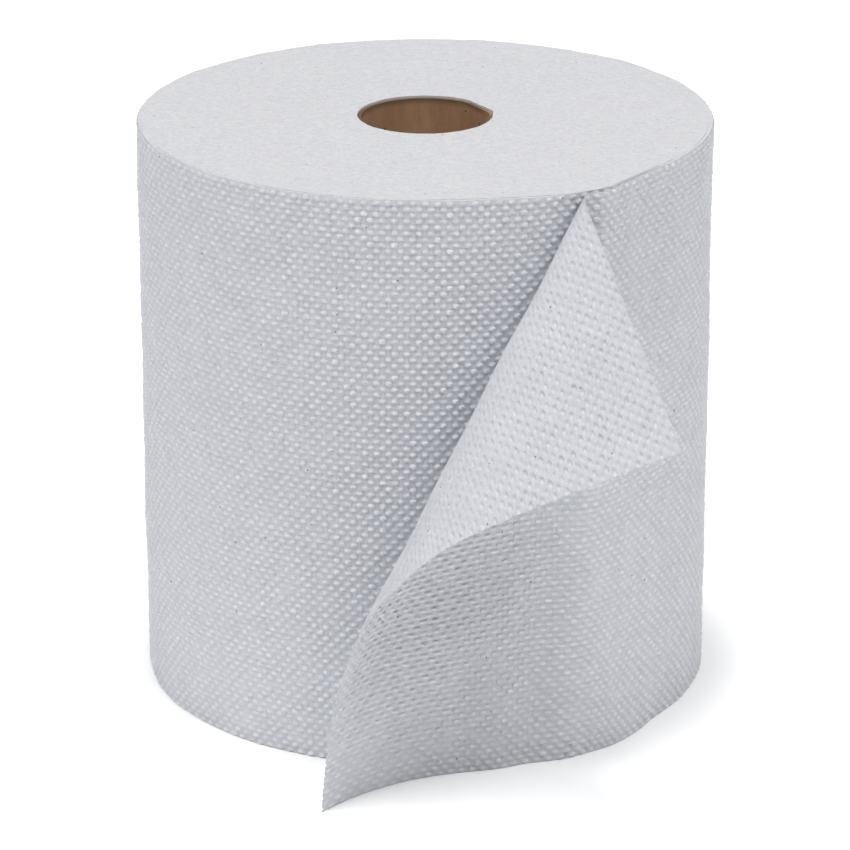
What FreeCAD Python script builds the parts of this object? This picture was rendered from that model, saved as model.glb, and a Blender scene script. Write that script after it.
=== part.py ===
import FreeCAD, Part

import math
import os

from FreeCAD import Vector

# A paper towel roll stood on end, in millimetres.
# The origin is on the roll's axis, in the plane that the roll stands on, and +Z is up.
# Plan angles start at the front (-Y) and grow towards the right (+X).

# Roll and core
roll_radius = 100.0
towel_width = 203.2
core_bore_radius = 22.25
core_wall = 1.3
core_recess = 0.8
core_clearance = 0.05
ply_thickness = 0.4

# Bands of turns that lie a little deeper than their neighbours, on both end faces
band_count = 4
band_width = 7.0
band_depth = 0.3
band_margin = 6.0

# The free end: it leaves the roll on a tangent, runs flat, and then swings forward and curls over
leave_angle = 54.9
cling_angle = 4.0
flat_length = 39.0
curl_length = 100.0
apex_height = 12.4

# Bend of the curling part about its apex, as a share of a full cone's bend.
# It first follows the roll, then swings away from it, and ends nearly flat.
hug_bend = 5.3
swing_bend = -4.65
flap_bend = -0.47
swing_start = 13.5
swing_end = 53.7
hug_blend = 22.3
flap_blend = 11.2

# The bottom edge stands on the floor: it keeps close to the roll and only then swings out
foot_tuck = 9.1
foot_waves = 1.39
foot_fade = 1.5
foot_ease = 0.3

# The point of the top corner is worn off by this much
tip_wear = 1.5

# Steps of the bend, and strips of the curl on its foot and on its flap
fan_steps = 240
foot_strips = 10
flap_strips = 24


def plan(angle, radius):
    """A point of the base plane by its plan angle in degrees and its radius."""
    turn = math.radians(angle)
    return Vector(radius * math.sin(turn), -radius * math.cos(turn), 0)


def smooth(x):
    """A soft step from 0 to 1."""
    x = min(max(x, 0.0), 1.0)
    return x * x * (3 - 2 * x)


def web_bore_radius():
    return core_bore_radius + core_wall + core_clearance


def leave_direction():
    """The direction in which the paper runs where it leaves the roll."""
    turn = math.radians(leave_angle)
    return Vector(-math.cos(turn), -math.sin(turn), 0)


def inward():
    """The flat stretch's normal, towards the roll."""
    return plan(leave_angle, -1.0)


def outer_turn():
    """The last turn's outline: two half turns, each tangent to the next, that gain one ply in all."""
    half_step = plan(leave_angle + 180, ply_thickness / 2)
    inner_radius = roll_radius - ply_thickness / 2
    first = Part.Arc(*[plan(leave_angle + turned, roll_radius) for turned in (0, 90, 180)])
    end = 360 - cling_angle
    second = Part.Arc(*[half_step + plan(leave_angle + turned, inner_radius) for turned in (180, 270, end)])
    return first.toShape(), second.toShape()


def roll_body():
    """The wound turns with the flat stretch of the last one: one outline, pushed up.

    The last turn ends one ply above the turn below it, and the flat stretch carries it on.
    It clings to the turn below for a few degrees before the two part.
    """
    start = plan(leave_angle, roll_radius)
    run = leave_direction() * flat_length
    step = inward() * ply_thickness
    parting = leave_direction() * (roll_radius - ply_thickness) * math.tan(math.radians(cling_angle))
    first, second = outer_turn()
    turn_end = second.valueAt(second.LastParameter)
    corners = [turn_end, start + step + parting, start + step + run, start + run, start]
    outline = Part.Wire([first, second] + Part.makePolygon(corners).Edges)
    bore = Part.Wire(Part.makeCircle(web_bore_radius()))
    up = Vector(0, 0, towel_width)
    body = Part.Face(outline).extrude(up)
    return body.cut(Part.Face(bore).extrude(up))


def sunk_bands():
    """Rings to cut from both end faces, evenly spread between the bore and the rim."""
    first = web_bore_radius() + band_margin
    last = roll_radius - ply_thickness - band_margin - band_width
    rings = []
    for i in range(band_count):
        radius = first + i * (last - first) / (band_count - 1)
        for level in (0.0, towel_width - band_depth):
            ring = Part.makeCylinder(radius + band_width, band_depth, Vector(0, 0, level))
            rings.append(ring.cut(Part.makeCylinder(radius, band_depth, Vector(0, 0, level))))
    return rings


def bend_at(angle):
    """The sheet's bend where its flat pattern has this angle from straight down."""
    bend = hug_bend
    bend += (swing_bend - hug_bend) * smooth((angle - swing_start) / hug_blend + 0.5)
    bend += (flap_bend - swing_bend) * smooth((angle - swing_end) / flap_blend + 0.5)
    return bend


def ruling_fan():
    """Directions from the apex over the sheet's flat angles of 0 to 90, with the sheet's normals."""
    ruling = Vector(0, 0, -1)
    along = leave_direction()
    step = math.radians(90.0 / fan_steps)
    fan = [(ruling, ruling.cross(along))]
    for i in range(fan_steps):
        normal = ruling.cross(along)
        spin = normal + ruling * bend_at((i + 0.5) * 90.0 / fan_steps)
        turn = FreeCAD.Rotation(spin, math.degrees(spin.Length * step))
        ruling = turn.multVec(ruling)
        along = turn.multVec(along)
        fan.append((ruling, ruling.cross(along)))
    return fan


def fan_at(fan, angle):
    """The ruling and normal at a flat angle, between two steps of the fan."""
    place = min(angle / 90.0 * fan_steps, fan_steps - 1e-9)
    i = int(place)
    share = place - i
    ruling = fan[i][0] * (1 - share) + fan[i + 1][0] * share
    normal = fan[i][1] * (1 - share) + fan[i + 1][1] * share
    return ruling.normalize(), normal.normalize()


def cone_point(fan, along, down):
    """A point of the curl and its normal, by its place on the sheet laid flat."""
    apex = plan(leave_angle, roll_radius) + leave_direction() * flat_length
    apex += Vector(0, 0, towel_width + apex_height)
    angle = math.degrees(math.atan2(along, down + apex_height))
    ruling, normal = fan_at(fan, angle)
    return apex + ruling * math.hypot(along, down + apex_height), normal


def near_point(fan, angle):
    """Where the ruling at a flat angle starts: a point of the top edge, and the sheet's normal."""
    return cone_point(fan, apex_height * math.tan(math.radians(angle)), 0)


def far_point(fan, angle):
    """Where the ruling at a flat angle ends: on the bottom edge, or past the corner on the cut edge.

    The foot is drawn in to the roll and swings out at its end, and the bottom edge is level
    with the base. Both fade out up the cut edge.
    """
    slope = math.tan(math.radians(angle))
    if angle <= corner_angle():
        along = (towel_width + apex_height) * slope
        down = towel_width
    else:
        along = curl_length
        down = curl_length / slope - apex_height
    point, normal = cone_point(fan, along, down)
    foot, _ = cone_point(fan, along, towel_width)
    share = along / curl_length
    fade = (down / towel_width) ** foot_fade
    tuck = foot_tuck * math.sin(foot_waves * math.pi * share) * smooth(share / foot_ease)
    outward = Vector(point.x, point.y, 0).normalize()
    point = point - outward * (tuck * fade) - Vector(0, 0, foot.z * fade)
    return point, Vector(normal.x, normal.y, normal.z * (1 - fade))


def corner_angle():
    """The flat angle of the ruling that ends at the sheet's bottom corner."""
    return math.degrees(math.atan2(curl_length, towel_width + apex_height))


def tip_angle():
    """The flat angle of the last ruling, at the sheet's top corner, whose point is worn off."""
    return math.degrees(math.atan2(curl_length - tip_wear, apex_height))


def straight_face(a, b, c, d):
    """The face of straight lines from edge a-b to edge d-c."""
    surface = Part.BSplineSurface()
    surface.buildFromPolesMultsKnots(
        [[a, d], [b, c]], [2, 2], [2, 2], [0.0, 1.0], [0.0, 1.0], False, False, 1, 1)
    return surface.toShape()


def section_at(fan, angle):
    """The sheet's cut along one ruling: near and far ends of its outer face, then of its inner face."""
    near, near_normal = near_point(fan, angle)
    far, far_normal = far_point(fan, angle)
    return near, far, far + far_normal * ply_thickness, near + near_normal * ply_thickness


def curl():
    """The curling part as a thin solid, bent in narrow strips along its straight rulings.

    A sheet that curls about one point stays straight along every line from that point, so
    strips along those lines follow it with few faces.
    """
    fan = ruling_fan()
    corner = corner_angle()
    angles = [corner * i / foot_strips for i in range(foot_strips)]
    angles += [corner + (tip_angle() - corner) * i / flap_strips for i in range(flap_strips + 1)]
    sections = [section_at(fan, angle) for angle in angles]
    faces = [straight_face(*sections[0]), straight_face(*sections[-1])]
    for this, after in zip(sections, sections[1:]):
        for i in range(4):
            faces.append(straight_face(this[i - 1], this[i], after[i], after[i - 1]))
    skin = Part.makeShell(faces)
    skin.sewShape()
    solid = Part.Solid(skin)
    if solid.Volume < 0:
        solid.reverse()
    return solid


def towel_web():
    """The whole strip of paper: its turns and its free end are one piece."""
    body = roll_body().cut(Part.Compound(sunk_bands()))
    return body.fuse(curl())


def core_tube():
    """The paperboard tube, flush with the base and a little short of the top."""
    height = towel_width - core_recess
    tube = Part.makeCylinder(core_bore_radius + core_wall, height)
    return tube.cut(Part.makeCylinder(core_bore_radius, height))


def main():
    os.makedirs("parts", exist_ok=True)
    parts = {"towel_web": towel_web(), "core_tube": core_tube()}
    for name, shape in parts.items():
        print(name, len(shape.Solids), "solid", shape.isValid(), round(shape.Volume), shape.BoundBox)
        shape.exportStep("parts/" + name + ".step")


main()
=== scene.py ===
# %% [markdown]
# A roll of embossed paper towel, stood on end, with its free end hanging off the front.
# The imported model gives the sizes. This script dresses it: the embossed dots, the ends of the
# turns, the paperboard tube and the two finishes. Everything is in metres, with the origin on
# the roll's axis at the floor, +Z up and the front towards -Y.

# %% Load the frame
import math

import bmesh
import bpy
import numpy as np
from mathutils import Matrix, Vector


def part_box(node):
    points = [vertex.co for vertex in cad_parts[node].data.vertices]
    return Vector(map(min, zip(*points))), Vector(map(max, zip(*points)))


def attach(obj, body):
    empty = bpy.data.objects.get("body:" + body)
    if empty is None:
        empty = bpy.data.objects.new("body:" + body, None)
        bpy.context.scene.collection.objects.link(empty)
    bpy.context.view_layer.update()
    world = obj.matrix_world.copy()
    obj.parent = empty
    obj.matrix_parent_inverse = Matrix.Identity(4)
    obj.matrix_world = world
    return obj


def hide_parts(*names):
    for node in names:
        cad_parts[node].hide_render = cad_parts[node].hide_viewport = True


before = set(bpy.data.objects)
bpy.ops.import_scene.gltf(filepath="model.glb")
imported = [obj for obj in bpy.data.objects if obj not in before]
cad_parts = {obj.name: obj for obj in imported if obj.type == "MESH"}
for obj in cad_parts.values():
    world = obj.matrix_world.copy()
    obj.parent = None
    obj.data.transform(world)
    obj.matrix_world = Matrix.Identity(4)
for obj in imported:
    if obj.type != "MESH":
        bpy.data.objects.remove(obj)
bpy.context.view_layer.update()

# %% [markdown]
# The paper's sizes come first. The core's box gives the tube's outer radius and its height. The
# rest are the same values as the part is built from. The leaving angle is where the last turn
# parts from the roll, counted from the front towards the right.

# %% Sizes of the roll
core_low, core_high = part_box("core_tube")
TOWEL_WIDTH = 0.2032
ROLL_RADIUS = 0.100
PLY = 0.0004
CORE_OUTER = (core_high[0] - core_low[0]) / 2
CORE_WALL = 0.0013
CORE_BORE = CORE_OUTER - CORE_WALL
CORE_HEIGHT = core_high[2] - core_low[2]
LEAVE_ANGLE = math.radians(54.9)
FLAT_LENGTH = 0.039
CURL_LENGTH = 0.100
APEX_HEIGHT = 0.0124
print("core radius", round(CORE_OUTER, 5), "core height", round(CORE_HEIGHT, 4))

# %% [markdown]
# Towel paper runs between two steel rollers that press rows of small dots through it, so that it
# is thicker, softer and drinks more. The pattern was measured in the photograph: the dots are
# wider than they are tall, and every second row lies half a step along.

# %% Sizes of the embossing
DOT_PITCH = 0.00405
ROW_PITCH = 0.0021
DOT_WIDTH = 0.0029
DOT_HEIGHT = 0.00180
DOT_RISE = 0.00060
ROWS = round(TOWEL_WIDTH / ROW_PITCH)
print("rows of dots across the towel", ROWS)

# %% [markdown]
# Small helpers keep the cells short. A mesh object is made from arrays of points. A Geometry
# Nodes modifier is turned into a plain mesh, because an exported piece has to be one. Smooth
# shading has to stop at a piece's border, or the border would show as a dark line.

# %% Helpers for meshes
SHARP_CORNER = math.radians(62.0)


def mesh_object(name, points, faces):
    """A mesh object at the origin from a list of points and a list of faces."""
    mesh = bpy.data.meshes.new(name)
    mesh.from_pydata([tuple(p) for p in points], [], faces)
    mesh.validate()
    obj = bpy.data.objects.new(name, mesh)
    bpy.context.collection.objects.link(obj)
    return obj


def smooth_step(x):
    """A soft step from 0 to 1, for numbers and arrays."""
    x = np.clip(x, 0.0, 1.0)
    return x * x * (3 - 2 * x)


def around(radius, angle, height):
    """Points by radius and plan angle, which is 0 at the front and grows towards the right."""
    x, y, z = np.broadcast_arrays(radius * np.sin(angle), -radius * np.cos(angle), height)
    return np.stack([x, y, z], axis=-1)


def ring_faces(count, sectors):
    """The faces between rings of points, each ring joined to the next and the last to the first."""
    faces = []
    for i in range(count):
        here, after = i * sectors, (i + 1) % count * sectors
        for j in range(sectors):
            beside = (j + 1) % sectors
            faces.append((here + j, after + j, after + beside, here + beside))
    return faces


def apply_nodes(obj, name):
    """Replaces a node-made object by the plain mesh it gives."""
    depsgraph = bpy.context.evaluated_depsgraph_get()
    mesh = bpy.data.meshes.new_from_object(obj.evaluated_get(depsgraph))
    mesh.name = name
    result = bpy.data.objects.new(name, mesh)
    bpy.context.collection.objects.link(result)
    bpy.data.objects.remove(obj, do_unlink=True)
    return result


def set_input(modifier, label, value):
    """Sets a modifier's input by the identifier of the socket with this name."""
    for item in modifier.node_group.interface.items_tree:
        if item.name == label and item.in_out == "INPUT":
            modifier[item.identifier] = value


def shade_smooth(obj):
    """Smooth shading on every face, with sharp edges at open borders and steep corners."""
    work = bmesh.new()
    work.from_mesh(obj.data)
    for face in work.faces:
        face.smooth = True
    for edge in work.edges:
        edge.smooth = len(edge.link_faces) == 2 and edge.calc_face_angle(0.0) < SHARP_CORNER
    work.to_mesh(obj.data)
    work.free()
    obj.data.update()


def mark(obj, name, values):
    """Stores a number from 0 to 1 on each point as an attribute that a material reads."""
    layer = obj.data.attributes.new(name, "FLOAT", "POINT")
    layer.data.foreach_set("value", np.clip(np.asarray(values), 0.0, 1.0).astype(np.float32))


def triangle_count(obj):
    """How many triangles a piece has."""
    obj.data.calc_loop_triangles()
    return len(obj.data.loop_triangles)


print("mesh helpers ready")

# %% [markdown]
# A finish is a small tree of nodes. Each helper makes one of them and links it, so that a finish
# further down reads as a list of what is on the real paper. A value can be a plain number, a
# colour or the result of another node.

# %% Helpers for node trees
def node(tree, kind, **values):
    """A node with its inputs set by name."""
    made = tree.nodes.new(kind)
    for name, value in values.items():
        made.inputs[name.replace("_", " ")].default_value = value
    return made


def feed(tree, socket, value):
    """Gives a socket a number, a colour or another node's result."""
    if hasattr(value, "links"):
        tree.links.new(value, socket)
    else:
        socket.default_value = (*value, 1.0) if isinstance(value, tuple) else value


def maths(tree, operation, *values):
    """The result of one step of arithmetic."""
    made = tree.nodes.new("ShaderNodeMath")
    made.operation = operation
    for socket, value in zip(made.inputs, values):
        feed(tree, socket, value)
    return made.outputs[0]


def mixed(tree, share, first, second):
    """A colour between two others."""
    mix = tree.nodes.new("ShaderNodeMix")
    mix.data_type = "RGBA"
    feed(tree, mix.inputs[6], first)
    feed(tree, mix.inputs[7], second)
    tree.links.new(share, mix.inputs[0])
    return mix.outputs[2]


def noise(tree, place, scale, detail, roughness=0.5):
    """Random clouds over the surface, as a number from 0 to 1."""
    made = node(tree, "ShaderNodeTexNoise", Scale=scale, Detail=detail, Roughness=roughness)
    tree.links.new(place, made.inputs["Vector"])
    return made.outputs["Fac"]


def stretched(tree, value, low, high, least, most):
    """A number that runs from least to most while the value runs from low to high."""
    made = node(tree, "ShaderNodeMapRange", From_Min=low, From_Max=high, To_Min=least, To_Max=most)
    tree.links.new(value, made.inputs["Value"])
    return made.outputs["Result"]


def specks(tree, place, scale, size, chance):
    """1 where a speck of this size lies, from cells that each hold one speck or none."""
    cells = node(tree, "ShaderNodeTexVoronoi", Scale=scale)
    tree.links.new(place, cells.inputs["Vector"])
    near = maths(tree, "LESS_THAN", cells.outputs["Distance"], size)
    parts = tree.nodes.new("ShaderNodeSeparateColor")
    tree.links.new(cells.outputs["Color"], parts.inputs["Color"])
    picked = maths(tree, "LESS_THAN", parts.outputs["Red"], chance)
    return maths(tree, "MULTIPLY", near, picked)


def marked(tree, name):
    """The number that mark() stored on the surface."""
    made = tree.nodes.new("ShaderNodeAttribute")
    made.attribute_name = name
    return made.outputs["Fac"]


def bumped(tree, height, strength, distance, under=None):
    """A normal that follows fine bumps, on top of another normal where one is given."""
    made = node(tree, "ShaderNodeBump", Strength=strength, Distance=distance)
    tree.links.new(height, made.inputs["Height"])
    if under is not None:
        tree.links.new(under, made.inputs["Normal"])
    return made.outputs["Normal"]


def matt_material(name, roughness, shine):
    """A new matt material with its tree and shader."""
    material = bpy.data.materials.new(name)
    material.use_nodes = True
    shader = material.node_tree.nodes["Principled BSDF"]
    shader.inputs["Roughness"].default_value = roughness
    shader.inputs["Specular IOR Level"].default_value = shine
    return material, material.node_tree, shader


print("node helpers ready")

# %% [markdown]
# The camera looks down at the roll from the front. A long lens far away gives the nearly
# upright sides that a product picture has.

# %% Camera
CAMERA_PLACE = (0.0, -1.400, 0.6124)
CAMERA_DOWN = 20.55
CAMERA_LENS = 176.9
camera_data = bpy.data.cameras.new("camera")
camera_data.lens = CAMERA_LENS
camera_data.sensor_width = 36.0
camera_data.clip_end = 20.0
camera = bpy.data.objects.new("camera", camera_data)
camera.location = CAMERA_PLACE
camera.rotation_euler = (math.radians(90 - CAMERA_DOWN), 0, 0)
bpy.context.collection.objects.link(camera)
bpy.context.scene.camera = camera
print("camera", CAMERA_PLACE, "lens", CAMERA_LENS)

# %% [markdown]
# Towel paper is off-white, with faint clouds in the pulp and tiny dark specks, because it is
# made from recovered fibre. An image could give all this, but it would stretch where the sheet
# bends. A procedural finish on Object coordinates doesn't. The dot tops are painted lighter than
# the ground, a painted highlight on each dot with painted shade between them, so the finish reads
# how far a point stands on a dot.
# The dots themselves are real geometry, and only the fibres are bump.

# %% Paper material
PAPER_LIGHT = (0.80, 0.815, 0.855)
PAPER_SHADE = (0.61, 0.625, 0.67)
# Painted highlight: the lighter colour that the dot tops are painted towards, for the light they catch
DOT_PAINTED_HIGHLIGHT = (0.89, 0.90, 0.93)
SPECK_DARK = (0.12, 0.11, 0.11)
SPECK_PALE = (0.46, 0.46, 0.48)
GRAIN_SHADE = (0.53, 0.54, 0.58)
GRAIN_SHARE = 0.55
# Each row of specks: cells in a metre, a speck's radius in its cell, share of cells with a speck
PALE_SPECKS = (260.0, 0.085, 0.05)
DARK_SPECKS = (200.0, 0.060, 0.20)
SHEET_CLOUDS = 90.0
SHEET_GRAIN = 1900.0
SHEET_BUMP = 0.35
FIBRE_HEIGHT = 0.0003


def paper_material(name, light, shade, cloud_scale, grain_scale, grain_bump):
    """Off-white towel paper with pulp clouds, a painted highlight on the dots, specks and fibre grain.
    """
    material, tree, shader = matt_material(name, 0.92, 0.18)
    place = tree.nodes.new("ShaderNodeTexCoord").outputs["Object"]
    colour = mixed(tree, noise(tree, place, cloud_scale, 5.0, 0.85), shade, light)
    # Painted highlight on the dot tops and painted shade between them, by how far a point stands on a
    # dot, varied in patches
    highlight_patches = stretched(tree, noise(tree, place, 330.0, 1.0), 0.32, 0.68, 0.35, 1.0)
    painted_dot_highlight = maths(tree, "MULTIPLY", marked(tree, "raised"), highlight_patches)
    colour = mixed(tree, painted_dot_highlight, colour, DOT_PAINTED_HIGHLIGHT)
    colour = mixed(tree, specks(tree, place, *PALE_SPECKS), colour, SPECK_PALE)
    colour = mixed(tree, specks(tree, place, *DARK_SPECKS), colour, SPECK_DARK)
    fibres = noise(tree, place, grain_scale, 5.0, 0.7)
    grain = stretched(tree, fibres, 0.50, 0.70, 0.0, GRAIN_SHARE)
    colour = mixed(tree, grain, colour, GRAIN_SHADE)
    tree.links.new(colour, shader.inputs["Base Color"])
    tree.links.new(bumped(tree, fibres, grain_bump, FIBRE_HEIGHT), shader.inputs["Normal"])
    return material


paper = paper_material("towel paper", PAPER_LIGHT, PAPER_SHADE, SHEET_CLOUDS, SHEET_GRAIN, SHEET_BUMP)
print("paper", PAPER_LIGHT, "to", PAPER_SHADE)

# %% [markdown]
# One sheet alone lets some light through, and the wound roll doesn't. Thin glassy shading would
# make the sheet look wet, so the paper gets a little subsurface light instead. How much is
# stored on the sheet's points, and fades to nothing where the sheet lies against the roll.

# %% Paper material for the loose sheet
LIGHT_DEPTH = 0.002
thin_paper = paper_material(
    "towel paper, one sheet", PAPER_LIGHT, PAPER_SHADE, SHEET_CLOUDS, SHEET_GRAIN, SHEET_BUMP)
thin_shader = thin_paper.node_tree.nodes["Principled BSDF"]
loose_share = marked(thin_paper.node_tree, "loose")
thin_paper.node_tree.links.new(loose_share, thin_shader.inputs["Subsurface Weight"])
thin_shader.inputs["Subsurface Radius"].default_value = (1.0, 1.0, 1.0)
thin_shader.inputs["Subsurface Scale"].default_value = LIGHT_DEPTH
print("light goes", LIGHT_DEPTH, "m deep into the loose sheet")

# %% [markdown]
# On the roll's ends the paper is seen edge on: hundreds of cut edges, one inside the other, a
# little whiter than the faces. Their lines run round the axis, so the bump reads a noise by the
# distance from the axis alone, on top of the fibres.

# %% Material of the end faces
EDGE_LIGHT = (0.96, 0.96, 0.98)
EDGE_SHADE = (0.60, 0.605, 0.635)
EDGE_CLOUDS = 420.0
EDGE_GRAIN = 900.0
EDGE_BUMP = 0.5
LINE_SCALE = 2600.0
LINE_BUMP = 0.35
LINE_HEIGHT = 0.0002


def turns_material():
    """The paper seen end on, with fine lines round the axis."""
    material = paper_material("turn edges", EDGE_LIGHT, EDGE_SHADE, EDGE_CLOUDS, EDGE_GRAIN, EDGE_BUMP)
    tree = material.node_tree
    shader = tree.nodes["Principled BSDF"]
    flat = tree.nodes.new("ShaderNodeVectorMath")
    flat.operation = "MULTIPLY"
    flat.inputs[1].default_value = (1.0, 1.0, 0.0)
    tree.links.new(tree.nodes.new("ShaderNodeTexCoord").outputs["Object"], flat.inputs[0])
    away = tree.nodes.new("ShaderNodeVectorMath")
    away.operation = "LENGTH"
    tree.links.new(flat.outputs["Vector"], away.inputs[0])
    lines = node(tree, "ShaderNodeTexNoise", Scale=LINE_SCALE, Detail=2.0)
    lines.noise_dimensions = "1D"
    tree.links.new(away.outputs["Value"], lines.inputs["W"])
    fibre_normal = shader.inputs["Normal"].links[0].from_socket
    normal = bumped(tree, lines.outputs["Fac"], LINE_BUMP, LINE_HEIGHT, fibre_normal)
    tree.links.new(normal, shader.inputs["Normal"])
    return material


turn_edges = turns_material()
print("end faces", EDGE_LIGHT, "to", EDGE_SHADE)

# %% [markdown]
# The embossing repeats one dot in a brick pattern, rows half a step apart. A bump map could draw
# it, but its outline would stay smooth. So one brick is a small mesh: its edge, a ring at the
# foot of the dot and a smaller ring on top.

# %% One brick with its dot
RING_SIDES = 8
TOP_SHARE = 0.62


def dot_brick():
    """One brick of the pattern: six points of edge, the dot's foot and its top."""
    half_x, half_y = DOT_PITCH / 2, ROW_PITCH / 2
    points = [(-half_x, -half_y, 0), (0, -half_y, 0), (half_x, -half_y, 0)]
    points += [(half_x, half_y, 0), (0, half_y, 0), (-half_x, half_y, 0)]
    for share, rise in ((1.0, 0.0), (TOP_SHARE, DOT_RISE)):
        for i in range(RING_SIDES):
            turn = 2 * math.pi * (i + 0.5) / RING_SIDES
            x = math.cos(turn) * DOT_WIDTH / 2 * share
            y = math.sin(turn) * DOT_HEIGHT / 2 * share
            points.append((x, y, rise))
    foot = list(range(6, 6 + RING_SIDES))
    top = list(range(6 + RING_SIDES, 6 + 2 * RING_SIDES))
    faces = [(foot[i - 1], foot[i], top[i], top[i - 1]) for i in range(RING_SIDES)]
    faces.append(tuple(top))
    faces += [(2, 3, foot[0], foot[7]), (4, foot[2], foot[1]), (4, foot[1], foot[0], 3)]
    faces += [(4, 5, foot[3], foot[2]), (5, 0, foot[4], foot[3]), (1, foot[5], foot[4], 0)]
    faces += [(1, foot[6], foot[5]), (1, 2, foot[7], foot[6])]
    return mesh_object("brick", points, faces)


brick = dot_brick()
print("faces in one brick", len(brick.data.polygons))

# %% [markdown]
# Geometry Nodes put a copy of the brick on every place of the pattern and join them into one
# flat embossed strip, with X along the paper, Y across it and Z as the rise of the dots. Pressed
# dots are never equally high, so each copy is stretched by a random share. The share hangs on
# the dot's row and column, so that two strips that meet agree on the dots they cut through.

# %% Nodes that lay the bricks
EMBOSS_INPUTS = (("Columns", "Int"), ("First column", "Int"), ("Rows", "Int"), ("Pitch", "Float"),
                 ("Row pitch", "Float"), ("Material", "Material"))
LEAST_RISE, MOST_RISE = 0.72, 1.28
RISE_SEED = 5
ROW_STRIDE = 4096.0
JOIN_DISTANCE = 0.00002


def row_and_column(tree, columns):
    """Which row and column of the strip a point stands for, by its number."""
    number = tree.nodes.new("GeometryNodeInputIndex").outputs[0]
    row = maths(tree, "FLOOR", maths(tree, "DIVIDE", maths(tree, "ADD", number, 0.5), columns))
    column = maths(tree, "SUBTRACT", number, maths(tree, "MULTIPLY", row, columns))
    return row, column


def brick_place(tree, given, row, column):
    """A brick's place on the flat strip, where every second row is half a brick along."""
    shift = maths(tree, "MULTIPLY", maths(tree, "MODULO", row, 2.0), 0.5)
    steps = maths(tree, "ADD", maths(tree, "ADD", column, 0.5), shift)
    spot = tree.nodes.new("ShaderNodeCombineXYZ")
    feed(tree, spot.inputs["X"], maths(tree, "MULTIPLY", steps, given["Pitch"]))
    middle = maths(tree, "ADD", row, 0.5)
    feed(tree, spot.inputs["Y"], maths(tree, "MULTIPLY", middle, given["Row pitch"]))
    return spot.outputs[0]


def brick_scale(tree, given, row, column):
    """A brick's stretch, which is 1 along and across and random in its rise."""
    chance = tree.nodes.new("FunctionNodeRandomValue")
    chance.data_type = "FLOAT_VECTOR"
    chance.inputs["Min"].default_value = (1.0, 1.0, LEAST_RISE)
    chance.inputs["Max"].default_value = (1.0, 1.0, MOST_RISE)
    chance.inputs["Seed"].default_value = RISE_SEED
    pattern_column = maths(tree, "ADD", column, given["First column"])
    number = maths(tree, "ADD", maths(tree, "MULTIPLY", row, ROW_STRIDE), pattern_column)
    tree.links.new(number, chance.inputs["ID"])
    return chance.outputs["Value"]


def emboss_tree(brick):
    """Nodes that lay bricks in rows, every second row half a brick along."""
    tree = bpy.data.node_groups.new("emboss strip", "GeometryNodeTree")
    for label, kind in EMBOSS_INPUTS:
        tree.interface.new_socket(label, in_out="INPUT", socket_type="NodeSocket" + kind)
    tree.interface.new_socket("Geometry", in_out="OUTPUT", socket_type="NodeSocketGeometry")
    given = tree.nodes.new("NodeGroupInput").outputs
    row, column = row_and_column(tree, given["Columns"])
    places = tree.nodes.new("GeometryNodePoints")
    feed(tree, places.inputs["Count"], maths(tree, "MULTIPLY", given["Columns"], given["Rows"]))
    tree.links.new(brick_place(tree, given, row, column), places.inputs["Position"])
    copies = tree.nodes.new("GeometryNodeInstanceOnPoints")
    source = node(tree, "GeometryNodeObjectInfo", Object=brick)
    tree.links.new(places.outputs[0], copies.inputs["Points"])
    tree.links.new(source.outputs["Geometry"], copies.inputs["Instance"])
    tree.links.new(brick_scale(tree, given, row, column), copies.inputs["Scale"])
    real = tree.nodes.new("GeometryNodeRealizeInstances")
    tree.links.new(copies.outputs[0], real.inputs[0])
    joined = node(tree, "GeometryNodeMergeByDistance", Distance=JOIN_DISTANCE)
    tree.links.new(real.outputs[0], joined.inputs[0])
    finish = tree.nodes.new("GeometryNodeSetMaterial")
    tree.links.new(joined.outputs[0], finish.inputs[0])
    tree.links.new(given["Material"], finish.inputs["Material"])
    tree.links.new(finish.outputs[0], tree.nodes.new("NodeGroupOutput").inputs[0])
    return tree


emboss_nodes = emboss_tree(brick)
print("nodes in the emboss tree", len(emboss_nodes.nodes))

# %% [markdown]
# The nodes work on an empty holder, and the strip is then read back as plain points and faces,
# because every piece of paper below bends its own strip in its own way. A strip is generated a
# little too long and then cut square, which leaves half dots at the cut as a knife does.

# %% A strip of a given length
COLUMN_OFFSET = 1024
CUT_TOLERANCE = 0.000005


def flat_strip(name, first, columns):
    """A flat embossed strip as points and faces, from this column of the pattern on."""
    holder = mesh_object(name + " holder", [], [])
    modifier = holder.modifiers.new("emboss", "NODES")
    modifier.node_group = emboss_nodes
    set_input(modifier, "Columns", columns)
    set_input(modifier, "First column", first + COLUMN_OFFSET)
    set_input(modifier, "Rows", ROWS)
    set_input(modifier, "Pitch", DOT_PITCH)
    set_input(modifier, "Row pitch", TOWEL_WIDTH / ROWS)
    set_input(modifier, "Material", paper)
    made = apply_nodes(holder, name)
    points = np.empty(len(made.data.vertices) * 3)
    made.data.vertices.foreach_get("co", points)
    faces = [tuple(p.vertices) for p in made.data.polygons]
    bpy.data.objects.remove(made, do_unlink=True)
    return points.reshape(-1, 3), faces


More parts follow.
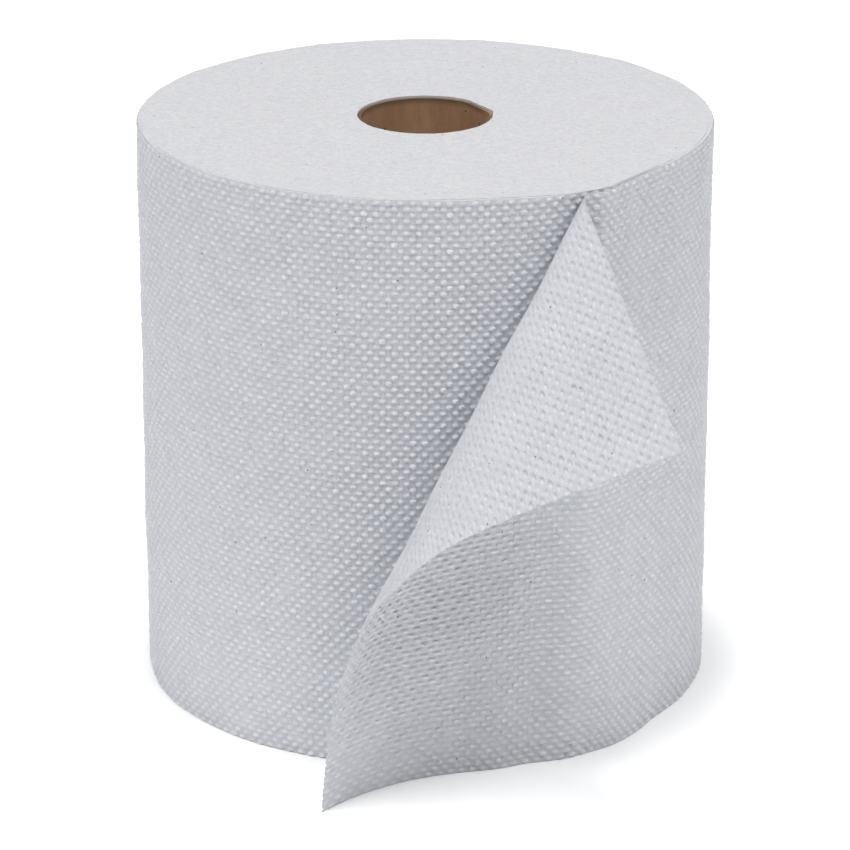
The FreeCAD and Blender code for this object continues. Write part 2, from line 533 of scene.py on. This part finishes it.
def cut_strip(name, length, start):
    """An embossed flat strip from 0 to length along X, as points and faces.

    start is how far along the paper the strip begins, so that the pattern runs on from piece to
    piece.
    """
    first = math.floor(start / DOT_PITCH) - 1
    columns = math.ceil((start + length) / DOT_PITCH) + 1 - first
    points, faces = flat_strip(name, first, columns)
    points[:, 0] += first * DOT_PITCH - start
    made = mesh_object(name, points, faces)
    work = bmesh.new()
    work.from_mesh(made.data)
    for place, side in ((0.0, -1.0), (length, 1.0)):
        everything = list(work.verts) + list(work.edges) + list(work.faces)
        bmesh.ops.bisect_plane(work, geom=everything, plane_co=(place, 0, 0), plane_no=(side, 0, 0),
                               clear_outer=True, dist=CUT_TOLERANCE)
    work.verts.ensure_lookup_table()
    result = np.array([tuple(v.co) for v in work.verts])
    result_faces = [tuple(v.index for v in f.verts) for f in work.faces]
    work.free()
    bpy.data.objects.remove(made, do_unlink=True)
    return result, result_faces


print("each strip has rows", round(TOWEL_WIDTH / ROWS, 6), "m apart")

# %% [markdown]
# A piece of paper is closed by walls along the border of its strip. The border is found from the
# faces: an edge that only one face uses lies on it.

# %% Find a strip's border
def border_loop(faces):
    """The points on the open border of a set of faces, in order round it."""
    seen = set()
    for face in faces:
        seen.update(zip(face, face[1:] + face[:1]))
    after = {a: b for a, b in seen if (b, a) not in seen}
    start = next(iter(after))
    loop = [start]
    while after[loop[-1]] != start:
        loop.append(after[loop[-1]])
    return loop


def border_side(flat, loop, axis, level):
    """The border's points that lie at this level of one axis, in order along the other."""
    side = [i for i in loop if abs(flat[i, axis] - level) < 2 * CUT_TOLERANCE]
    return sorted(side, key=lambda i: flat[i, 1 - axis])


print("points round a square", len(border_loop([(0, 1, 2, 3)])))

# %% [markdown]
# Paper is never quite even. A few long waves lift and lower it by a fraction of a millimetre,
# which breaks up the light over the dots. They are sines with fixed directions, so every run
# gives the same paper. The rim is worn unevenly by handling. And where the sheet was pulled off,
# the turns below have sprung loose a little, so that a thin dark gap shows behind the sheet.

# %% Unevenness of the paper
# Each wave: how fast it runs along the paper and down it, and where it starts
WAVES = ((31, 47, 0.3), (-58, 39, 1.7), (83, -21, 4.1), (-17, 96, 2.6), (140, 70, 5.2), (-120, 155, 0.9))
WAVE_HEIGHT = 0.00022
RIM_BAND = 0.006
RIM_WEAR = 0.00010
BULGE = 0.0048
BULGE_START = math.radians(6)
BULGE_SPAN = math.radians(29)
BULGE_GAP = 0.0007
BULGE_END = math.radians(3)
BULGE_FOOT = 0.45


def unevenness(along, down, height):
    """Long waves over the sheet, up to about this height."""
    total = 0.0
    for k_along, k_down, phase in WAVES:
        total = total + np.sin(along * k_along + down * k_down + phase)
    return total * height / 3.0


def rim_wear(along, height):
    """How far the sheet is worn down, which is nothing but near its top edge."""
    waves = np.sin(along * 210 + 1.1) + np.sin(along * 97 + 4.0) + 0.6 * np.sin(along * 530)
    return -RIM_WEAR * (2.6 + waves) * smooth_step((height - TOWEL_WIDTH + RIM_BAND) / RIM_BAND)


def loosened(angle, height):
    """How far the turns below bulge out where the sheet was pulled off them, by plan angle."""
    rising = smooth_step((angle - BULGE_START) / BULGE_SPAN)
    room = 1 / np.cos(np.clip(LEAVE_ANGLE - angle, 0, 0.6)) - 1
    tangent = np.maximum(ROLL_RADIUS * room - BULGE_GAP, 0.0)
    behind = smooth_step((LEAVE_ANGLE - angle) / BULGE_END)
    upward = BULGE_FOOT + (1 - BULGE_FOOT) * smooth_step(height / TOWEL_WIDTH)
    return np.minimum(BULGE * rising, tangent) * behind * upward


print("waves", len(WAVES), "largest bulge", BULGE)

# %% [markdown]
# The last turn is a spiral: it gains the thickness of one ply in a full turn. It is made in four
# pieces, so that each keeps its dots as real geometry and a moderate number of triangles. Each
# is a closed slab, embossed outside and plain inside where it lies on the turns below.

# %% The last turn, in four pieces
SLAB = 0.001
TURN_LENGTH = 2 * math.pi * ROLL_RADIUS
QUARTER = TURN_LENGTH / 4
QUARTER_NAMES = ("last_turn_right", "last_turn_back", "last_turn_left", "last_turn_front")
NEARLY_LEVEL = 0.7


def on_roll(along, height, rise):
    """Points of the roll by length along the last turn, height above the floor and rise off it."""
    turned = along / TURN_LENGTH
    angle = LEAVE_ANGLE + turned * 2 * math.pi
    radius = ROLL_RADIUS - PLY * turned + rise
    radius = radius + np.where(turned > 0.5, loosened(angle - 2 * math.pi, height), 0.0)
    return around(radius, angle, height)


def slab_walls(flat, faces, count):
    """The slab's other faces, and the outer points that its inner points lie behind."""
    loop = border_loop(faces)
    low, high = (border_side(flat, loop, 1, level) for level in (0.0, TOWEL_WIDTH))
    left, right = (border_side(flat, loop, 0, level) for level in (0.0, QUARTER))
    low_in = list(range(count, count + len(low)))
    high_in = list(range(count + len(low), count + len(low) + len(high)))
    walls = []
    for i in range(len(low) - 1):
        walls.append((low[i + 1], low[i], low_in[i], low_in[i + 1]))
        walls.append((high[i], high[i + 1], high_in[i + 1], high_in[i]))
        walls.append((low_in[i], high_in[i], high_in[i + 1], low_in[i + 1]))
    walls.append(tuple(left + [high_in[0], low_in[0]]))
    walls.append(tuple(right[::-1] + [low_in[-1], high_in[-1]]))
    return walls, low + high


def turn_piece(name, start):
    """A closed slab of the last turn, from start along the paper and a quarter turn long."""
    flat, faces = cut_strip(name, QUARTER, start)
    count = len(flat)
    along, height = flat[:, 0] + start, flat[:, 1]
    rise = flat[:, 2] + unevenness(along, height, WAVE_HEIGHT)
    outer = on_roll(along, height + rim_wear(along, height), rise)
    walls, behind = slab_walls(flat, faces, count)
    inner = on_roll(along[behind], outer[behind, 2], -SLAB)
    piece = mesh_object(name, np.vstack([outer, inner]), faces + walls)
    piece.data.materials.append(paper)
    piece.data.materials.append(turn_edges)
    # The finish paints a highlight by how far each point stands on a dot; the inner face gets none
    mark(piece, "raised", np.concatenate([flat[:, 2], np.zeros(len(inner))]) / DOT_RISE)
    for face in piece.data.polygons:
        if abs(face.normal.z) > NEARLY_LEVEL and max(face.vertices) >= count:
            face.material_index = 1
    shade_smooth(piece)
    return piece


turn_pieces = [turn_piece(name, i * QUARTER) for i, name in enumerate(QUARTER_NAMES)]
for piece in turn_pieces:
    print(piece.name, triangle_count(piece), "triangles")

# %% [markdown]
# Under the last turn lie some six hundred more, a seventh of a millimetre apart. Their edges make
# the two end faces. Single turns are far too fine for geometry, so the ends are rings that stand
# a little higher or lower in groups, and a bump of fine lines does the rest.

# %% End faces of the turns
RINGS = 96
SECTORS = 288
BODY_RADIUS = ROLL_RADIUS - SLAB
HOLE_RADIUS = CORE_OUTER + 0.00005
HEIGHT_SEED = 7
DRIFT = 0.00002
JITTER = 0.00003
KINK_ANGLE = math.radians(101.0)
KINK_FLAT = 0.0011
KINK_CORNER = 0.0006
KINK_DEPTH = 0.012


def dent(angle, depth_below):
    """How far the hole's rim is pushed in at a plan angle, fading below the top."""
    flat_side = KINK_FLAT * np.exp(-(((angle - KINK_ANGLE - 0.36) / 0.22) ** 2))
    corner = -KINK_CORNER * np.exp(-(((angle - KINK_ANGLE + 0.02) / 0.10) ** 2))
    return (flat_side + corner) * np.exp(-depth_below / KINK_DEPTH)


def turn_heights():
    """How far each ring of turns lies off the rim: a slow drift with a little jitter."""
    chance = np.random.default_rng(HEIGHT_SEED)
    heights = np.cumsum(chance.normal(0, 1, RINGS))
    heights = (heights - np.linspace(heights[0], heights[-1], RINGS)) * DRIFT
    return heights + chance.normal(0, JITTER, RINGS)


def end_face(level, side, heights):
    """The rings of one end, from the hole to the rim. side is 1 for the top and -1 for the base."""
    angle = np.linspace(0, 2 * np.pi, SECTORS, endpoint=False)
    front_angle = (angle + math.pi) % (2 * math.pi) - math.pi
    rings = []
    for i in range(RINGS):
        share = i / (RINGS - 1)
        pushed = dent(angle, TOWEL_WIDTH - level) * (1 - share) ** 6
        bulge = loosened(front_angle, np.full_like(angle, level)) * share ** 12
        radius = HOLE_RADIUS + share * (BODY_RADIUS - HOLE_RADIUS) - pushed + bulge
        ripple = 0.00005 * np.sin(angle * 5 + share * 40) + 0.00003 * np.sin(angle * 13 - share * 90)
        rings.append(around(radius, angle, level - side * (abs(heights[i]) + abs(ripple))))
    return rings


def wound_body():
    """The turns as one closed ring with uneven end faces."""
    heights = turn_heights()
    rings = end_face(TOWEL_WIDTH, 1.0, heights) + end_face(0.0, -1.0, heights)[::-1]
    body = mesh_object("wound_turns", np.vstack(rings), ring_faces(len(rings), SECTORS))
    body.data.materials.append(turn_edges)
    shade_smooth(body)
    return body


wound = wound_body()
print("wound turns", triangle_count(wound), "triangles")

# %% [markdown]
# The free end follows one rule. Where it curls, the sheet bends about a point above its top
# edge, so every line from that point stays straight on it. A fan of directions turns step by
# step by the sheet's bend: first with the roll, then away from it, then nearly flat. A cloth
# simulation could curl a sheet too, but it wouldn't meet the outline in the photograph.

# %% The fan of straight lines
HUG_BEND, SWING_BEND, FLAP_BEND = 5.3, -4.65, -0.47
SWING_START, SWING_END = 13.5, 53.7
HUG_BLEND, FLAP_BLEND = 22.3, 11.2
FAN_STEPS = 240
LEAVE_POINT = around(ROLL_RADIUS, LEAVE_ANGLE, 0.0)
LEAVE_DIRECTION = np.array([-math.cos(LEAVE_ANGLE), -math.sin(LEAVE_ANGLE), 0.0])
APEX = LEAVE_POINT + LEAVE_DIRECTION * FLAT_LENGTH + np.array([0, 0, TOWEL_WIDTH + APEX_HEIGHT])


def turned_by(vector, axis, angle):
    """A vector turned about a unit axis."""
    cosine, sine = math.cos(angle), math.sin(angle)
    return vector * cosine + np.cross(axis, vector) * sine + axis * (axis @ vector) * (1 - cosine)


def bend_at(angle):
    """The sheet's bend where its flat pattern has this angle, in degrees, from straight down."""
    bend = HUG_BEND + (SWING_BEND - HUG_BEND) * smooth_step((angle - SWING_START) / HUG_BLEND + 0.5)
    return bend + (FLAP_BEND - SWING_BEND) * smooth_step((angle - SWING_END) / FLAP_BLEND + 0.5)


def ruling_fan():
    """Flat angles, directions from the apex and the sheet's normals towards its inner face."""
    ruling, along = np.array([0.0, 0.0, -1.0]), LEAVE_DIRECTION.copy()
    step = math.radians(90.0 / FAN_STEPS)
    rulings, normals = [ruling], [np.cross(ruling, along)]
    for i in range(FAN_STEPS):
        spin = np.cross(ruling, along) + ruling * bend_at((i + 0.5) * 90.0 / FAN_STEPS)
        size = float(np.linalg.norm(spin))
        ruling, along = (turned_by(v, spin / size, size * step) for v in (ruling, along))
        rulings.append(ruling)
        normals.append(np.cross(ruling, along))
    return np.linspace(0, math.pi / 2, FAN_STEPS + 1), np.array(rulings), np.array(normals)


FAN_ANGLES, FAN_RULINGS, FAN_NORMALS = ruling_fan()
print("the last line points to", [round(float(x), 3) for x in FAN_RULINGS[-1]])

# %% [markdown]
# The bottom edge stands on the floor, which a plain curl wouldn't: it is drawn in to the roll,
# swings out at its end and is set level. All this fades out up the sheet. The photographed foot
# stands a few millimetres off the plain rule, so a short list of shifts brings it there.

# %% Places on the free end
FOOT_TUCK, FOOT_WAVES, FOOT_FADE, FOOT_EASE = 0.0091, 1.39, 1.5, 0.3
# How far the foot stands in front of the rule, by length past the leaving line
FOOT_SWING = ((0, 0), (0.015, 0.0026), (0.030, 0.0010), (0.046, -0.0043), (0.062, -0.0009),
              (0.078, 0.0032), (0.094, 0.0022), (0.112, 0.0), (0.127, 0.0015), (0.139, 0.0058))
SWING_EASE = 0.01


def from_fan(table, angle):
    """Unit vectors of the fan at flat angles."""
    found = np.stack([np.interp(angle, FAN_ANGLES, table[:, i]) for i in range(3)], axis=-1)
    return found / np.linalg.norm(found, axis=-1, keepdims=True)


def on_cone(along, down):
    """Points of the sheet bent about the apex."""
    reach = np.hypot(along, down + APEX_HEIGHT)[..., None]
    return APEX + from_fan(FAN_RULINGS, np.arctan2(along, down + APEX_HEIGHT)) * reach


def far_points(angle):
    """Where the line at a flat angle leaves the sheet, with the foot tucked and levelled."""
    slope = np.tan(angle)
    along = np.minimum((TOWEL_WIDTH + APEX_HEIGHT) * slope, CURL_LENGTH)
    down = np.minimum(along / np.maximum(slope, 1e-9) - APEX_HEIGHT, TOWEL_WIDTH)
    down = np.where(slope < 1e-6, TOWEL_WIDTH, down)
    points = on_cone(along, down)
    foot = on_cone(along, np.full_like(down, TOWEL_WIDTH))
    share = along / CURL_LENGTH
    fade = (np.maximum(down, 0) / TOWEL_WIDTH) ** FOOT_FADE
    tuck = FOOT_TUCK * np.sin(FOOT_WAVES * np.pi * share) * smooth_step(share / FOOT_EASE) * fade
    outward = points[..., :2] / np.linalg.norm(points[..., :2], axis=-1, keepdims=True)
    points[..., :2] -= outward * tuck[..., None]
    points[..., 2] -= foot[..., 2] * fade
    return points, np.hypot(along, down + APEX_HEIGHT)


def foot_swing(along, down):
    """The foot's shift to the front as one smooth curve through the list, fading upwards."""
    places, shifts = np.array(FOOT_SWING).T
    slopes = np.gradient(shifts, places)
    i = np.clip(np.searchsorted(places, along) - 1, 0, len(places) - 2)
    span = places[i + 1] - places[i]
    x = np.clip((along - places[i]) / span, 0.0, 1.0)
    shift = shifts[i] * (1 + 2 * x) * (1 - x) ** 2 + slopes[i] * span * x * (1 - x) ** 2
    shift = shift + shifts[i + 1] * x * x * (3 - 2 * x) - slopes[i + 1] * span * x * x * (1 - x)
    return shift * smooth_step(along / SWING_EASE) * np.clip(down / TOWEL_WIDTH, 0, 1) ** FOOT_FADE


def on_free_end(along, down, rise):
    """Points of the free end by length past the leaving line, depth below its top and rise."""
    curl_along = np.maximum(along - FLAT_LENGTH, 0.0)
    angle = np.arctan2(curl_along, down + APEX_HEIGHT)
    near_reach = APEX_HEIGHT / np.maximum(np.cos(angle), 1e-9)
    near = APEX + from_fan(FAN_RULINGS, angle) * near_reach[..., None]
    far, far_reach = far_points(angle)
    span = np.maximum(far_reach - near_reach, 1e-7)
    share = np.clip((np.hypot(curl_along, down + APEX_HEIGHT) - near_reach) / span, 0.0, 1.0)
    points = near + (far - near) * share[..., None]
    normal = from_fan(FAN_NORMALS, angle)
    level = np.stack([0 * down, 0 * down, TOWEL_WIDTH - down], axis=-1)
    straight = LEAVE_POINT + LEAVE_DIRECTION * along[..., None] + level
    points = np.where((along < FLAT_LENGTH)[..., None], straight, points)
    points[..., 1] -= foot_swing(along, down)
    return points - normal * rise[..., None]


corner = on_free_end(np.array([0.139]), np.array([TOWEL_WIDTH]), np.array([0.0]))[0]
print("bottom corner of the free end", [round(float(x), 4) for x in corner])

# %% [markdown]
# The sheet is embossed right through, so what stands out on its outer face is a dimple on its
# inner face. Both faces are the same strip, one sheet's thickness apart, joined round the edge.
# The stretch that leaves the roll and the stretch that curls are two pieces, each a sheet.

# %% The free end
SHEET = 0.00022
# Share of the dots' painted highlight that the dimples of the inner face get
DIMPLE_HIGHLIGHT_SHARE = 0.55
LOOSE_START = 0.055
LOOSE_EASE = 0.03
LOOSE_SHARE = 0.15
SETTLE_ALONG, SETTLE_DOWN = 0.03, 0.02
SETTLE_HEIGHT = 0.0004


def sheet_unevenness(along, down, height):
    """Waves of the free sheet, larger away from the roll and from its top and bottom edges."""
    settle = smooth_step(along / SETTLE_ALONG)
    settle = settle * smooth_step(down / SETTLE_DOWN) * smooth_step(height / SETTLE_DOWN)
    return unevenness(-along, height, WAVE_HEIGHT + SETTLE_HEIGHT * settle)


def free_end_piece(name, start, end):
    """A closed piece of the free end between two lengths past the leaving line."""
    flat, faces = cut_strip(name, end - start, -end)
    along, height = end - flat[:, 0], flat[:, 1]
    down = TOWEL_WIDTH - height - rim_wear(-along, height)
    rise = flat[:, 2] + sheet_unevenness(along, down, height)
    points = np.vstack([on_free_end(along, down, rise), on_free_end(along, down, rise - SHEET)])
    points[:, 2] = np.maximum(points[:, 2], 0.0)
    count = len(flat)
    loop = border_loop(faces)
    inner_faces = [tuple(i + count for i in face[::-1]) for face in faces]
    edge = [(b, a, a + count, b + count) for a, b in zip(loop, loop[1:] + loop[:1])]
    piece = mesh_object(name, points, faces + inner_faces + edge)
    piece.data.materials.append(thin_paper)
    # Painted highlight on the outer face's dots and, weaker, on the inner face's dimples
    mark(piece, "raised", np.concatenate([flat[:, 2], flat[:, 2] * DIMPLE_HIGHLIGHT_SHARE]) / DOT_RISE)
    loose = LOOSE_SHARE * smooth_step((along - LOOSE_START) / LOOSE_EASE)
    mark(piece, "loose", np.concatenate([loose, loose]))
    shade_smooth(piece)
    return piece


FREE_LENGTH = FLAT_LENGTH + CURL_LENGTH
free_parts = [free_end_piece("free_end_root", 0.0, FLAT_LENGTH),
              free_end_piece("free_end_curl", FLAT_LENGTH, FREE_LENGTH)]
bpy.data.objects.remove(brick, do_unlink=True)
for piece in free_parts:
    print(piece.name, triangle_count(piece), "triangles")

# %% [markdown]
# The tube is brown board with long fibres and darker bands along it. The bands come from a noise
# that is squeezed along the tube's axis. The cut rim is darker than the inside, apart from the
# spot where the board is torn and its pale inside shows.

# %% Paperboard material
BOARD_LIGHT = (0.76, 0.465, 0.275)
BOARD_DARK = (0.19, 0.11, 0.06)
RIM_BROWN = (0.20, 0.125, 0.075)
BAND_SQUEEZE = 0.2
BAND_SCALE = 70.0
BOARD_FLECKS = (420.0, 0.2, 0.12)
BOARD_GRAIN = 900.0
BOARD_BUMP = 0.4


def board_material():
    """Brown paperboard with bands, flecks, fibres and a darker cut rim."""
    material, tree, shader = matt_material("paperboard", 0.85, 0.25)
    place = tree.nodes.new("ShaderNodeTexCoord").outputs["Object"]
    tall = node(tree, "ShaderNodeMapping", Scale=(1.0, 1.0, BAND_SQUEEZE))
    tree.links.new(place, tall.inputs["Vector"])
    bands = noise(tree, tall.outputs[0], BAND_SCALE, 7.0, 0.75)
    colour = mixed(tree, bands, BOARD_DARK, BOARD_LIGHT)
    colour = mixed(tree, specks(tree, place, *BOARD_FLECKS), colour, BOARD_DARK)
    colour = mixed(tree, marked(tree, "rim"), colour, RIM_BROWN)
    tree.links.new(colour, shader.inputs["Base Color"])
    fibres = noise(tree, place, BOARD_GRAIN, 5.0, 0.7)
    tree.links.new(bumped(tree, fibres, BOARD_BUMP, FIBRE_HEIGHT), shader.inputs["Normal"])
    return material


board = board_material()
print("board", BOARD_LIGHT, "to", BOARD_DARK)

# %% [markdown]
# The tube is wound from strips of board, so a fine seam runs round it as a screw, inside and
# out. Its rim is kinked on one side, where it has been knocked, and the paper round it follows.
# A plain ring of points at each level, shifted by the seam and the kink, gives all of this.

# %% The core tube
TUBE_SECTORS = 160
TUBE_LEVELS = 90
SEAM_TURNS = 2.6
SEAM_DEPTH = 0.00022
SEAM_HALF_WIDTH = 0.0006
OUTER_SEAM_SHARE = -0.2
RIM_DEPTH = 0.0005
TEAR_ANGLE = 1.80
TEAR_HALF_WIDTH = 0.16


def seam_depth(angle, height):
    """How deep the screw seam is at a plan angle and height."""
    phase = (angle / (2 * np.pi) + SEAM_TURNS * height / CORE_HEIGHT) % 1.0
    off_seam = np.minimum(phase, 1 - phase) * CORE_HEIGHT / SEAM_TURNS
    return SEAM_DEPTH * np.exp(-((off_seam / SEAM_HALF_WIDTH) ** 2))


def tube_piece():
    """A closed tube with a screw seam inside and out, and a kinked rim."""
    angle = np.linspace(0, 2 * np.pi, TUBE_SECTORS, endpoint=False)
    inner, outer = [], []
    for i in range(TUBE_LEVELS):
        height = CORE_HEIGHT * i / (TUBE_LEVELS - 1)
        seam = seam_depth(angle, height)
        pushed = dent(angle, CORE_HEIGHT - height)
        inner.append(around(CORE_BORE - pushed + seam, angle, height))
        outer.append(around(CORE_OUTER - pushed + OUTER_SEAM_SHARE * seam, angle, height))
    rings = inner + outer[::-1]
    points = np.vstack(rings)
    tube = mesh_object("core", points, ring_faces(len(rings), TUBE_SECTORS))
    tube.data.materials.append(board)
    plan_angle = np.arctan2(points[:, 0], -points[:, 1])
    torn = np.exp(-(((plan_angle - TEAR_ANGLE) / TEAR_HALF_WIDTH) ** 2))
    mark(tube, "rim", (points[:, 2] > CORE_HEIGHT - RIM_DEPTH) * (1 - torn))
    shade_smooth(tube)
    return tube


core = tube_piece()
print("core", triangle_count(core), "triangles")

# %% [markdown]
# Each piece rides on the part's one body, and the imported parts that it replaces are hidden.

# %% Ride and replace
for piece in turn_pieces + free_parts + [wound, core]:
    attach(piece, "root")
for piece in turn_pieces + free_parts + [wound]:
    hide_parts("towel_web")
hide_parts("core_tube")
print("pieces", len(turn_pieces + free_parts) + 2)

# %% [markdown]
# The picture has a white floor with a faint shadow. More light would burn out the paper, so the
# floor glows a little for the camera alone and keeps its shadow. It ends not far behind the
# roll, and the white sky goes on from there, because a floor seen far away turns grey.

# %% Floor and sky
FLOOR_HALF = 1.9
FLOOR_GLOW = 0.12
FLOOR_WHITE = 0.95
SKY_LIGHT = 0.02
floor_corners = [(x * FLOOR_HALF, y * FLOOR_HALF, 0) for x, y in ((-1, -1), (1, -1), (1, 1), (-1, 1))]
floor = mesh_object("floor", floor_corners, [(0, 1, 2, 3)])
floor_material, floor_tree, floor_shader = matt_material("floor", 1.0, 0.0)
floor_shader.inputs["Base Color"].default_value = (FLOOR_WHITE, FLOOR_WHITE, FLOOR_WHITE, 1)
floor_shader.inputs["Emission Color"].default_value = (1, 1, 1, 1)
floor_rays = floor_tree.nodes.new("ShaderNodeLightPath").outputs["Is Camera Ray"]
feed(floor_tree, floor_shader.inputs["Emission Strength"],
     maths(floor_tree, "MULTIPLY", floor_rays, FLOOR_GLOW))
floor.data.materials.append(floor_material)

world = bpy.data.worlds.new("sky")
bpy.context.scene.world = world
world.use_nodes = True
sky_tree = world.node_tree
sky = sky_tree.nodes["Background"]
sky.inputs["Color"].default_value = (1, 1, 1, 1)
sky_rays = sky_tree.nodes.new("ShaderNodeLightPath").outputs["Is Camera Ray"]
feed(sky_tree, sky.inputs["Strength"],
     maths(sky_tree, "MULTIPLY_ADD", sky_rays, 1.0 - SKY_LIGHT, SKY_LIGHT))
print("floor", 2 * FLOOR_HALF, "m wide, sky light", SKY_LIGHT)

# %% [markdown]
# Large soft lamps stand far off: one high on each side in front, and weaker ones low on the left
# and behind. One more hangs almost overhead and lights the floor alone, which keeps the floor
# white and lays a short soft shadow to the right and the front.

# %% Lamps
# Each lamp: its name, its place, its size across and its power
LAMPS = (
    ("left key", (-2.4, -1.7, 4.8), 2.6, 158.0),
    ("right key", (2.4, -1.6, 4.8), 2.8, 156.0),
    ("left low", (-3.6, -0.6, 0.45), 1.8, 8.0),
    ("left back", (-2.7, 2.1, 2.1), 2.4, 8.0),
    ("right back", (2.7, 1.5, 2.7), 2.4, 16.0),
    ("overhead", (-0.10, 0.10, 4.0), 0.4, 58.0),
)
AIM = (0, 0, 0.1)


def lamp(name, place, size, power):
    """A square area lamp that faces the roll's middle."""
    data = bpy.data.lights.new(name, "AREA")
    data.size = size
    data.energy = power
    made = bpy.data.objects.new(name, data)
    made.location = place
    made.rotation_euler = (Vector(AIM) - Vector(place)).to_track_quat("-Z", "Y").to_euler()
    made.visible_camera = False
    bpy.context.collection.objects.link(made)
    return made


overhead = [lamp(*values) for values in LAMPS][-1]
lit_alone = bpy.data.collections.new("lit by the overhead lamp")
lit_alone.objects.link(floor)
overhead.light_linking.receiver_collection = lit_alone
bpy.context.scene.view_settings.view_transform = "Standard"
print("lamps", len(LAMPS))
